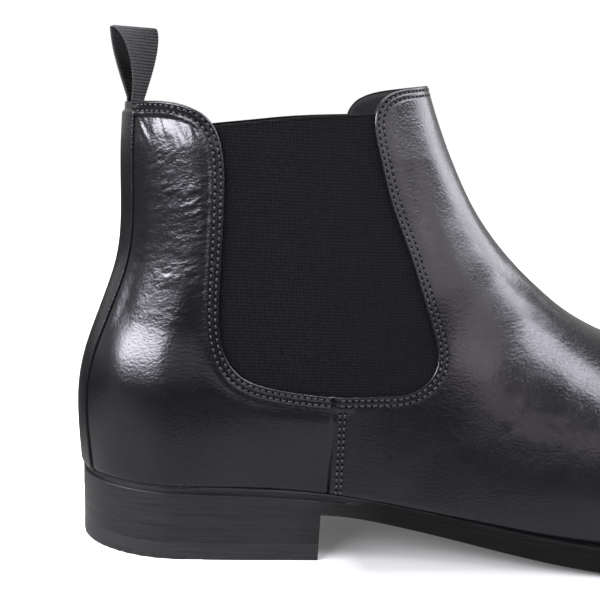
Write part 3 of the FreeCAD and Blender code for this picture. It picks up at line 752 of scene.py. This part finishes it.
lining_rows = np.concatenate([level_rows[::2], fan_rows[::3], toe_rows[::2]])
vamp_lining = panel("vamp_lining_inside", lining_rows, np.arange(-0.86, 0.861, 0.02),
                    {"top": LINING_LEVELS, "seam": [0.05], "sole": [1.5]},
                    {"top": 0.5, "seam": 0.05, "sole": 1.5}, lining_outer, lining_inner, LINING)
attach(vamp_lining, "boot")
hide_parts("vamp_lining")

quarter_lining = panel("quarter_lining_inside", np.arange(-14.5, 100, 1.4),
                       np.arange(-0.70, 0.701, 0.014),
                       {"top": LINING_LEVELS, "behind": [0.05], "sole": [1.5]},
                       {"top": 0.5, "behind": 0.05, "sole": 1.5}, lining_outer, lining_inner,
                       LINING, back=True)
bend_with_collar(quarter_lining)
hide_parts("quarter_lining", "quarter_shaft_lining")


# ---- stitching -----------------------------------------------------


def on_leather(x, z, side, outer):
    """Points on the leather of one side, with the skin's normals there."""
    s, r = station(x, z)
    near, far = front_line(s), back_line(s)
    share = np.arccos(np.clip(1 - 2 * (r - near) / (far - near), -1, 1)) / math.pi
    w = side * np.clip(share, 0.002, 0.998)
    normals = skin_normal(s, w)
    return skin(s, w) + normals * outer(measure(s, w, False))[:, None], normals


def row_on_leather(line, side, inset, outer):
    """A line moved sideways into the leather by an inset, and laid on its face."""
    flat = level_of(0.0)
    points, normals = on_leather(line[:, 0], line[:, 2], side, flat)
    along = np.gradient(points, axis=0)
    into = np.cross(normals, along)
    into /= np.linalg.norm(into, axis=1, keepdims=True)
    moved = points + into * inset * side
    return on_leather(moved[:, 0], moved[:, 2], side, outer)


STITCH_PITCH = 2.1
STITCH_RINGS = [(-0.74, 0.06, -0.16), (-0.6, 0.22, -0.03), (-0.3, 0.33, 0.08), (0.3, 0.33, 0.08),
                (0.6, 0.22, -0.03), (0.74, 0.06, -0.16)]    # along, radius, height
HOLE = 0.42                      # radius of a needle hole
HOLE_LIFT, HOLE_DEPTH = 0.12, 0.3
HOLE_SIDES = 8
HOLE_FACES = HOLE_SIDES + 2


def stitches(name, rows, bends):
    """One mesh of short thread runs, and dark discs of painted shade for the needle holes between
    them, along rows of (points, normals).
    """
    verts, faces, holes = [], [], []
    sides = 7
    for points, normals in rows:
        run = np.concatenate([[0], np.cumsum(np.linalg.norm(np.diff(points, axis=0), axis=1))])
        for at in np.arange(STITCH_PITCH / 2, run[-1] - 0.6, STITCH_PITCH):
            centre, up = (np.array([np.interp(at, run, a[:, k]) for k in range(3)])
                          for a in (points, normals))
            ahead = np.array([np.interp(at + 0.5, run, points[:, k]) for k in range(3)])
            along = (ahead - centre) / np.linalg.norm(ahead - centre)
            across = np.cross(up, along)
            first = len(verts)
            for reach, radius, height in STITCH_RINGS:
                middle = centre + along * reach + up * height
                for k in range(sides):
                    a = 2 * math.pi * k / sides
                    verts.append(middle + across * radius * math.cos(a)
                                 + up * radius * 0.8 * math.sin(a))
            faces += tube(first, len(STITCH_RINGS), sides)
            faces.append(tuple(range(first + sides - 1, first - 1, -1)))
            last = first + (len(STITCH_RINGS) - 1) * sides
            faces.append(tuple(range(last, last + sides)))
            # A dark disc of painted shade, lifted a little over the leather, stands for each needle
            # hole.
            middle = centre + along * STITCH_PITCH / 2 + up * HOLE_LIFT
            first = len(verts)
            for drop in (0.0, -HOLE_DEPTH):
                for k in range(HOLE_SIDES):
                    a = 2 * math.pi * k / HOLE_SIDES
                    verts.append(middle + along * HOLE * 0.9 * math.cos(a)
                                 + across * HOLE * math.sin(a) + up * drop)
            holes.append(len(faces))
            low = first + HOLE_SIDES
            faces.append(tuple(range(first, low)))
            faces.append(tuple(range(low + HOLE_SIDES - 1, low - 1, -1)))
            for k in range(HOLE_SIDES):
                a, b = first + k, first + (k + 1) % HOLE_SIDES
                faces.append((a, a + HOLE_SIDES, b + HOLE_SIDES, b))
    piece = add_mesh(name, verts, faces, THREAD, angle=80)
    piece.data.materials.append(HOLE_SHADE)
    for first in holes:
        for face in range(first, first + HOLE_FACES):
            piece.data.polygons[face].material_index = 1
    if bends:
        bend_with_collar(piece)
    else:
        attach(piece, "boot")


for side, label in ((-1, "lateral"), (1, "medial")):
    edge = TOP_EDGE[side]
    x, y, z = edge.T
    turn = np.flatnonzero(x > SEAM_X + 1.4)[0]
    rear = edge[:turn][(x < SEAM_X)[:turn] & (np.abs(y) > strip_half(z) + 0.8)[:turn]]
    stitches("stitching_quarter_" + label,
             [row_on_leather(rear, side, d, quarter_outer(side)) for d in ROWS_TOP], True)
    seam_z = np.arange(21.6, 50.4, 0.4)
    seams = [on_leather(np.full(len(seam_z), SEAM_X + d), seam_z, side, vamp_outer)
             for d in ROWS_SEAM]
    tops = [row_on_leather(edge[turn:], side, d, vamp_outer) for d in ROWS_TOP]
    stitches("stitching_vamp_" + label, tops + seams, False)


# ---- pull tab ------------------------------------------------------

TAB_X, TAB_Z = 12.2, 144.6
TAB_RISE, TAB_HALF, TAB_THICK = 22.0, 7.5, 1.0
RIB = 1.0                        # pitch of the cross ribs
FEET, FOOT_STEP = 14, 0.25       # the feet run down into the collar by this many steps
TAB_SIDE = [(-0.97, 0.7), (-0.9, 1), (-0.45, 1), (0, 1), (0.45, 1), (0.9, 1), (0.97, 0.7)]
TAB_PROFILE = [(-1, 0)] + TAB_SIDE + [(1, 0)] + [(u, -v) for u, v in TAB_SIDE[::-1]]


def tab_section(t):
    """Middle and width direction of the webbing, t from 0 at the outer foot to 1 inside."""
    side = -1 if t < 0.5 else 1
    climb = 1 - abs(2 * t - 1)
    height = TAB_RISE * math.sin(math.pi / 2 * min(climb * 1.02, 1.0)) ** 0.92
    gap = 0.75 + 2.3 * math.sin(math.pi * min(climb, 0.98)) ** 0.8
    twist = math.radians(16 + 62 * climb ** 1.2)
    along = np.array([math.sin(twist), math.cos(twist), 0])
    out = np.array([-math.cos(twist), math.sin(twist), 0])
    centre = np.array([TAB_X - 1.6 * climb, 0, TAB_Z + height]) - out * side * gap
    return centre, along


def pull_tab():
    """The webbing loop with its cross ribs."""
    rows = [tab_section(t) for t in np.arange(421) / 420]
    down = np.array([0, 0, FOOT_STEP])
    feet = [[(end[0] - down * k, end[1]) for k in range(1, FEET + 1)] for end in (rows[0], rows[-1])]
    rows = feet[0][::-1] + rows + feet[1]
    steps = len(rows) - 1
    centres = np.array([r[0] for r in rows])
    run = np.concatenate([[0], np.cumsum(np.linalg.norm(np.diff(centres, axis=0), axis=1))])
    verts = []
    for i, (centre, across) in enumerate(rows):
        ahead = centres[min(i + 1, steps)] - centres[max(i - 1, 0)]
        normal = np.cross(ahead / np.linalg.norm(ahead), across)
        normal /= np.linalg.norm(normal)
        rib = 0.78 + 0.22 * math.cos(2 * math.pi * run[i] / RIB)
        for u, v in TAB_PROFILE:
            verts.append(centre + across * TAB_HALF * u * (0.985 + 0.015 * rib)
                         + normal * TAB_THICK / 2 * v * rib)
    n = len(TAB_PROFILE)
    faces = tube(0, steps + 1, n)
    faces += [tuple(range(n - 1, -1, -1)), tuple(range(steps * n, steps * n + n))]
    return add_mesh("pull_tab_loop", verts, faces, WEBBING, angle=70)


tab = pull_tab()
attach(tab, "pull_tab")
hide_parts("pull_tab")


# ---- sole and heel -------------------------------------------------

HEEL_X, HEEL_RADIUS, ARC_X = 75.0, 32.6, 32.6
SEAT, SOLE_END = 15.2, 299.6     # underside of the outsole over the heel; toe end of the sole
TIP_FROM = 299.0                 # a layer that ends beyond this comes to a point at the toe
OUTER_EDGE = [
    (56, -33.2), (76, -33.2), (94, -33.9), (112, -36.2), (132, -40.8), (152, -46.2),
    (174, -51), (196, -53.2), (214, -52), (234, -47), (254, -39.2), (272, -29.4), (287, -18),
    (296.5, -6.5), (299.6, 3.5)]
INNER_EDGE = [
    (56, 32.6), (76, 31.4), (94, 29.8), (112, 29.6), (132, 32.6), (152, 38),
    (174, 43.8), (196, 48), (214, 49.6), (234, 48.4), (254, 44), (272, 36.8), (287, 26.4),
    (296.5, 14), (299.6, 3.5)]


def half_plan(edge, side, x):
    """Y of the sole's edge on one side at each x."""
    arc = [(ARC_X - HEEL_RADIUS * math.cos(a), side * HEEL_RADIUS * math.sin(a))
           for a in np.linspace(0, math.pi / 2, 9)]
    line = polyline(arc + edge, 2400)
    return np.interp(x, line[:, 0], line[:, 1])


def plan_ring(end, count):
    """Edge of the sole from the back round the outer side to an end, and its inner partner."""
    start = ARC_X - HEEL_RADIUS
    share = np.arange(count + 1) / count
    if end > TIP_FROM:
        x = start + (end - start) * (1 - np.cos(math.pi * share)) / 2
    else:
        x = start + (end - start) * (1 - np.cos(math.pi * share / 2))
    outer = np.stack([x, half_plan(OUTER_EDGE, -1, x)], 1)
    inner = np.stack([x, half_plan(INNER_EDGE, 1, x)], 1)
    return outer, inner


def inset(ring, gap):
    """A closed plan outline drawn in by a gap at each point."""
    after = np.roll(ring, -1, axis=0) - ring
    after /= np.linalg.norm(after, axis=1, keepdims=True)
    before = np.roll(after, 1, axis=0)
    normal = np.stack([after[:, 1] + before[:, 1], -after[:, 0] - before[:, 0]], 1)
    normal /= np.maximum((normal ** 2).sum(1, keepdims=True) / 2, 0.6)
    return ring - normal * np.asarray(gap)[..., None]


def slab(name, end, count, layers, material, across=14, notch=0.0):
    """A layer of the sole. layers: (gap, height) from below to above, each a number or f(x)."""
    outer, inner = plan_ring(end, count)
    tip = end > TIP_FROM
    last = len(outer) - 1 if tip else len(outer)
    ring = np.concatenate([outer, inner[1:last][::-1]])
    n = len(ring)
    x, y = ring.T
    side = 1 if (x * np.roll(y, -1) - np.roll(x, -1) * y).sum() > 0 else -1
    run = np.cumsum(np.linalg.norm(ring - np.roll(ring, 1, axis=0), axis=1))
    teeth = (np.abs((run / 1.3) % 1 - 0.5) < 0.22) * (x > 7) * (x < 38)
    verts, faces = [], []
    for j, (gap, height) in enumerate(layers):
        g = gap(x) if callable(gap) else np.full(n, float(gap))
        if j < 3:
            g = g + notch * teeth
        flat = inset(ring, side * g)
        if not tip:
            flat[x > end - 0.001, 0] = end
        z = height(flat[:, 0]) if callable(height) else np.full(n, float(height))
        verts += np.column_stack([flat, z]).tolist()
    for j in range(len(layers) - 1):
        for k in range(n):
            a, b = j * n + k, j * n + (k + 1) % n
            faces.append((a, b, b + n, a + n) if side > 0 else (b, a, a + n, b + n))
    for j, up in ((0, False), (len(layers) - 1, True)):
        height = layers[j][1]
        rows = [[j * n]]
        for k in range(1, last):
            a, b = j * n + k, j * n + n - k
            row = [a]
            for m in range(1, across):
                u = m / across
                p = (1 - u) * np.array(verts[a]) + u * np.array(verts[b])
                if callable(height):
                    p[2] = height(np.array([p[0]]))[0]
                row.append(len(verts))
                verts.append(p.tolist())
            rows.append(row + [b])
        if tip:
            rows.append([j * n + last])
        for r0, r1 in zip(rows, rows[1:]):
            if len(r0) == 1:
                quads = [(r0[0], r1[m], r1[m + 1]) for m in range(across)]
            elif len(r1) == 1:
                quads = [(r0[m], r1[0], r0[m + 1]) for m in range(across)]
            else:
                quads = [(r0[m], r1[m], r1[m + 1], r0[m + 1]) for m in range(across)]
            faces += [q if up else q[::-1] for q in quads]
    piece = add_mesh(name, verts, faces, material, angle=40)
    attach(piece, "boot")
    return piece


def at_heel(heel, waist):
    """A size that changes from the heel to the waist."""
    return lambda x: heel + (waist - heel) * smooth(66, 96, x)


def above_sole(rise):
    return lambda x: sole_top(x) + rise


def tread(rise):
    """Height over the outsole's underside, level above the heel."""
    return lambda x: np.where(x < HEEL_X, SEAT, sole_bottom(np.maximum(x, HEEL_X))) + rise


# The heel end of the welt and outsole stands out a little, by negative gaps.
welt = slab("welt_strip", SOLE_END, 260, [
    (2.4, above_sole(-2.2)), (at_heel(-0.6, 0.2), above_sole(-2.2)),
    (at_heel(-0.9, 0.06), above_sole(-2.1)), (0.0, above_sole(-1.85)), (0.0, above_sole(-0.5)),
    (0.1, above_sole(-0.2)), (0.35, above_sole(-0.03)), (1.0, above_sole(0.0))], SOLE)
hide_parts("welt")
outsole = slab("outsole_edge", SOLE_END, 260, [
    (3.0, tread(0.0)), (at_heel(-0.5, 1.1), tread(0.0)), (at_heel(-0.55, 0.55), tread(0.12)),
    (at_heel(-0.6, 0.28), tread(0.5)), (at_heel(-0.75, 0.1), above_sole(-3.1)),
    (at_heel(-0.8, 0.06), above_sole(-2.5)), (at_heel(-0.6, 0.2), above_sole(-2.24)),
    (2.4, above_sole(-2.2))], SOLE)
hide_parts("outsole")
for label, low, high, low_gap, high_gap, edge in (
        ("heel_lift_upper", 10.4, SEAT, -0.28, -0.45, 0.05),
        ("heel_lift_lower", 5.6, 10.4, -0.08, -0.25, 0.05),
        ("top_piece", 0.0, 5.6, 0.10, -0.05, 0.35)):
    lift = slab(label + "_edge", HEEL_X, 84, [
        (low_gap + 1.6, low), (low_gap + edge, low), (low_gap + edge * 0.3, low + edge * 0.3),
        (low_gap, low + edge), ((low_gap + high_gap) / 2, (low + high) / 2),
        (high_gap, high - 0.05), (high_gap + 0.05, high), (high_gap + 1.6, high)],
        RUBBER if low == 0 else SOLE, notch=0.3 if low == 0 else 0.0)
    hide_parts(label)


# ---- inside the boot -----------------------------------------------


def sock_edge(x):
    """Gap of the sock liner inside the sole's edge."""
    return 4.6 + 2.2 * smooth(80, 130, x) * (1 - smooth(200, 280, x)) + 1.5 * smooth(250, 290, x)


sock = slab("sock_liner_leather", SOLE_END, 160, [
    (lambda x: sock_edge(x) + 1, above_sole(2.45)), (sock_edge, above_sole(2.6)),
    (sock_edge, above_sole(3.1)), (lambda x: sock_edge(x) + 0.5, above_sole(3.38)),
    (lambda x: sock_edge(x) + 2.2, above_sole(3.4))], LINING)
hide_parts("sock_liner")


def heel_pad():
    """Crowned pad with a sewn-down rim, on the sock liner."""
    outline = [(33 - 24.5 * math.cos(a), -24.5 * math.sin(a)) for a in np.linspace(-1.5, 1.5, 60)]
    front = polyline([outline[-1], (58, -23.5), (68, -15), (71, 0), (68, 15), (58, 23.5),
                      outline[0]], 60)
    ring = np.concatenate([np.array(outline), front[1:-1]])
    centre = np.array([40.0, 0.0])
    rings = [(1.0, 0.0), (1.0, 0.5), (0.985, 0.85), (0.95, 0.95), (0.925, 0.7), (0.89, 1.1),
             (0.8, 1.65), (0.6, 1.95), (0.35, 2.0), (0.12, 2.0)]
    verts = []
    n = len(ring)
    for share, rise in rings:
        for p in centre + (ring - centre) * share:
            verts.append((p[0], p[1], sole_top(p[0]) + 3.4 + rise))
    faces = tube(0, len(rings), n)
    faces.append(tuple(range((len(rings) - 1) * n, len(rings) * n)))
    faces.append(tuple(range(n - 1, -1, -1)))
    return add_mesh("heel_pad_cushion", verts, faces, LINING, angle=80)


pad = heel_pad()
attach(pad, "boot")
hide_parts("heel_pad")

for label, material in (("insole", BOARD), ("cork_filler", CORK), ("shank", STEEL),
                        ("shank_rivets", STEEL), ("heel_nails", STEEL),
                        ("heel_counter", STIFFENER), ("toe_puff", STIFFENER),
                        ("pull_tab_ends", WEBBING)):
    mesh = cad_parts[label].data
    mesh.materials.clear()
    mesh.materials.append(material)


# ---- floor, light, camera ------------------------------------------


def stage_floor():
    """Pale paper sweep with a painted shade beside the arch; it glows though it is no lamp, and mirror
    reflections see it dimmer, as black with a painted reflection band.
    """
    mesh = bpy.data.meshes.new("floor")
    size = 12.0
    mesh.from_pydata([(-size, -size, 0), (size, -size, 0), (size, size, 0), (-size, size, 0)], [],
                     [(0, 1, 2, 3)])
    floor = bpy.data.objects.new("floor", mesh)
    bpy.context.scene.collection.objects.link(floor)
    m = Surface("floor_paper")
    m.shader.inputs["Specular IOR Level"].default_value = 0.0
    x = m.put("SeparateXYZ", {0: m.coordinates})
    y = x.node.outputs[1]
    grain = m.noise(m.scaled(3, 3, 3), detail=2)
    mirrored = m.put("LightPath").node.outputs["Is Glossy Ray"]
    # Painted reflection: mirror reflections see the floor black, with a glowing band from just in
    # front of the boot to just behind it, dimmer further out and past the heel.
    skewed = m.math("ADD", y, m.spread(x, 0.0, 0.13, 0.0, 0.078))
    front = m.spread(skewed, -0.135, -0.110, 0.02, 0.66)
    behind = m.spread(y, 0.02, 0.10, 0.0, 0.54)
    painted_reflection_band = m.math("SUBTRACT", front, behind)
    # Painted shade: in a strip beside the arch on the outer side, the floor's colour is darkened by up
    # to 60% towards black.
    under = m.math("SUBTRACT", m.spread(y, -0.080, -0.040, 0.0, 0.6),
                   m.spread(y, -0.02, 0.03, 0.0, 0.6))
    along = m.math("SUBTRACT", m.spread(x, 0.062, 0.09), m.spread(x, 0.22, 0.30))
    black = rgb(0.0, 0.0, 0.0)
    tone = m.mix(m.math("MULTIPLY", under, along), rgb(0.9, 0.9, 0.9), black)
    tone = m.mix(mirrored, tone, black)
    # The floor glows though it is no lamp: by 0.1 near the boot, lightening the shade there, rising to
    # full white a metre out.
    reach = m.put("VectorMath", {0: m.coordinates}, operation="LENGTH").node.outputs["Value"]
    glow = m.spread(reach, 0.34, 1.0, 0.10, 1.0)
    # Emission: the painted reflection band for mirror reflections, and the glow for all other rays.
    share = m.math("MULTIPLY", mirrored, painted_reflection_band)
    share = m.math("MULTIPLY", share, m.spread(x, -0.22, -0.04, 0.35, 1.0))
    clear = m.math("MULTIPLY", m.math("SUBTRACT", 1.0, mirrored), glow)
    mesh.materials.append(m.finish(tone, 0.9, grain, 0.01, Emission_Color=rgb(1, 1, 1),
                                   Emission_Strength=m.math("ADD", share, clear)))


def softbox(name, azimuth, elevation, distance_m, size, power, colour=(1, 1, 1)):
    """Area light towards the boot. Azimuth runs from the camera's side (-Y) towards the toe."""
    a, e = math.radians(azimuth), math.radians(elevation)
    aim = Vector((90, 0, 70)) * MM
    away = Vector((math.sin(a) * math.cos(e), -math.cos(a) * math.cos(e), math.sin(e)))
    data = bpy.data.lights.new(name, "AREA")
    data.shape = "RECTANGLE"
    data.size, data.size_y = size
    data.energy = power
    data.color = colour
    light = bpy.data.objects.new(name, data)
    light.location = aim + away * distance_m
    light.rotation_mode = "QUATERNION"
    light.rotation_quaternion = away.to_track_quat("Z", "Y")
    bpy.context.scene.collection.objects.link(light)


def studio():
    """White surroundings, dimmer in mirror reflections, and soft lights."""
    world = bpy.data.worlds.new("studio")
    bpy.context.scene.world = world
    world.use_nodes = True
    tree = world.node_tree
    back = tree.nodes["Background"]
    where = tree.nodes.new("ShaderNodeTexCoord")
    split = tree.nodes.new("ShaderNodeSeparateXYZ")
    tree.links.new(where.outputs["Generated"], split.inputs[0])
    ramp = tree.nodes.new("ShaderNodeMapRange")
    ramp.interpolation_type = "SMOOTHSTEP"
    for key, value in (("From Min", -0.2), ("From Max", 0.7), ("To Min", 0.02), ("To Max", 0.42)):
        ramp.inputs[key].default_value = value
    tree.links.new(split.outputs[1], ramp.inputs["Value"])
    path = tree.nodes.new("ShaderNodeLightPath")
    mix = tree.nodes.new("ShaderNodeMix")
    mix.data_type = "RGBA"
    tree.links.new(path.outputs["Is Camera Ray"], mix.inputs[0])
    tree.links.new(ramp.outputs[0], mix.inputs[6])
    mix.inputs[7].default_value = rgb(1, 1, 1)
    tree.links.new(mix.outputs[2], back.inputs["Color"])
    cool = (0.94, 0.94, 1.0)
    softbox("overhead", 190, 68, 1.3, (1.2, 0.9), 15)
    softbox("left_front", -60, 26, 1.1, (1.25, 0.46), 40, cool)
    softbox("right_side", 106, 18, 1.2, (0.66, 0.46), 5.0, cool)
    softbox("right_back", 82, 34, 1.2, (0.44, 0.40), 5.6, cool)
    softbox("right_top", 48, 48, 1.2, (0.62, 0.28), 8.8, cool)
    softbox("front_low", 10, 17, 1.2, (1.05, 0.22), 1.2, (1.0, 0.93, 0.93))
    softbox("right_low", 46, 19, 1.2, (1.0, 0.40), 2.5, (1.0, 0.93, 0.95))


def camera():
    azimuth, elevation, roll = (math.radians(v) for v in (-8.7, 8.03, 3.12))
    back = Vector((math.sin(azimuth) * math.cos(elevation), -math.cos(azimuth) * math.cos(elevation),
                   math.sin(elevation)))
    level = Vector((math.cos(azimuth), math.sin(azimuth), 0))
    up = back.cross(level)
    right = math.cos(roll) * level + math.sin(roll) * up
    up = back.cross(right)
    data = bpy.data.cameras.new("camera")
    data.sensor_width = 36.0
    data.lens = 74.36
    data.clip_start = 0.02
    view = bpy.data.objects.new("camera", data)
    bpy.context.scene.collection.objects.link(view)
    turn = Matrix((right, up, back)).transposed().to_4x4()
    view.matrix_world = Matrix.Translation(Vector((6.75, -411.43, 138.71)) * MM) @ turn
    bpy.context.scene.camera = view


stage_floor()
studio()
camera()
bpy.context.scene.view_settings.view_transform = "Standard"
